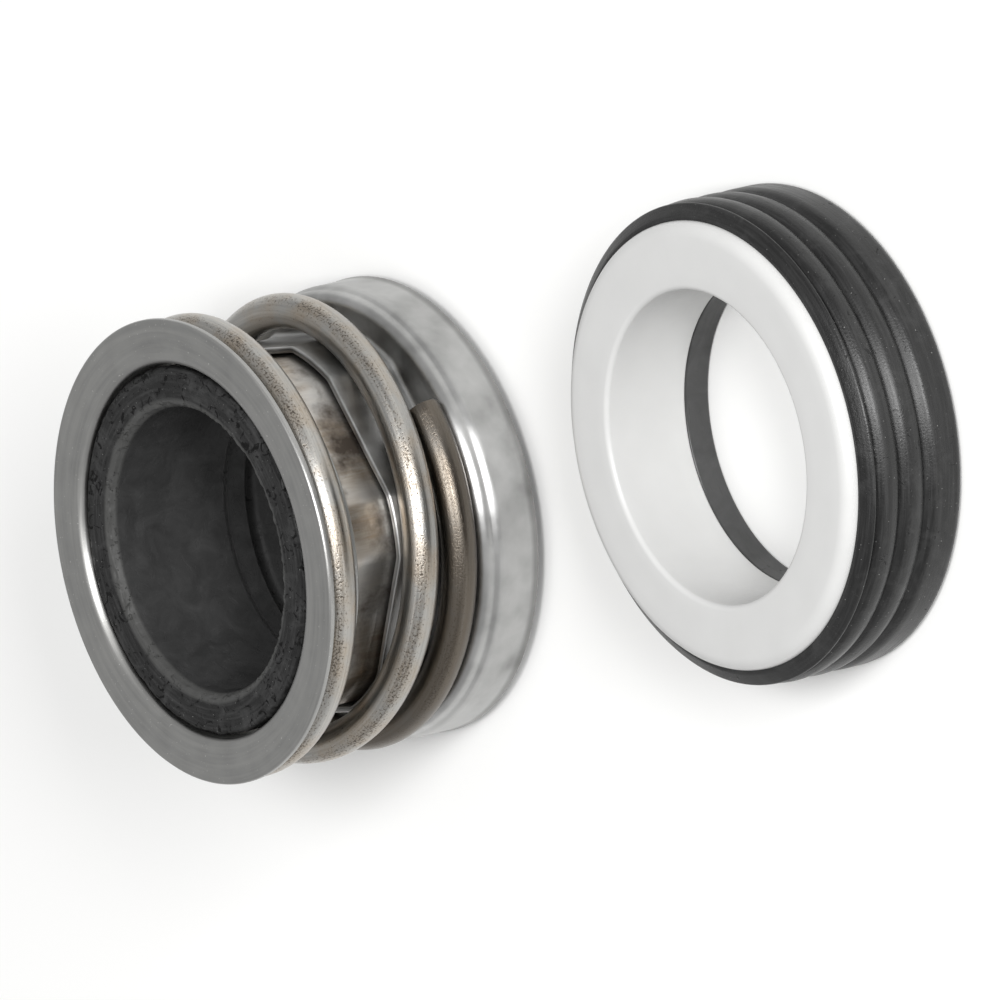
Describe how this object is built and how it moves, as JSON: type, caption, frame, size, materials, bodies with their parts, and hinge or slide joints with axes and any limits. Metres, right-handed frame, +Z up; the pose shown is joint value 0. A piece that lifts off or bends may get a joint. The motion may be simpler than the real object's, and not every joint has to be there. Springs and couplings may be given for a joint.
{
  "type": "mechanical shaft seal",
  "caption": "Rotary shaft face seal: a spring-loaded head with a carbon ring, rubber bellows and hexagonal drive, and a ceramic seat in a ribbed rubber cup.",
  "frame": {"origin": "centre of the box round both halves, at the floor that they stand on", "axes": "+Z is up along both halves' shaft axes, from the sealing nose of the head to its tail; +X runs from the head to the seat"},
  "size_m": [0.1012, 0.0412, 0.0238],
  "materials": {
    "holder_steel": "pressed stainless sheet, satin",
    "spring_steel": "drawn wire with a tan heat tint",
    "band_steel": "pressed stainless sheet with a brown heat tint",
    "shell_steel": "drawn stainless sheet, bright satin",
    "bellows_rubber": "moulded nitrile, scuffed and matt",
    "carbon": "machined carbon graphite, dark grey",
    "seat_ceramic": "ground alumina, white with a soft sheen",
    "cup_rubber": "moulded nitrile, satin black"
  },
  "bodies": {
    "root": {"retainer_shell": "shell_steel", "primary_ring": "carbon", "spring": "spring_steel", "mating_ring": "seat_ceramic", "seat_cup": "cup_rubber"},
    "tail": {"spring_holder": "holder_steel", "drive_band": "band_steel", "bellows": "bellows_rubber"}
  },
  "joints": [
    {"name": "spring_compression", "type": "slide", "parent": "root", "child": "tail", "axis": [0, 0, -1], "range_m": [0, 0.0035], "stiffness_N_per_m": 8000, "deforming": ["spring", "bellows"]}
  ]
}
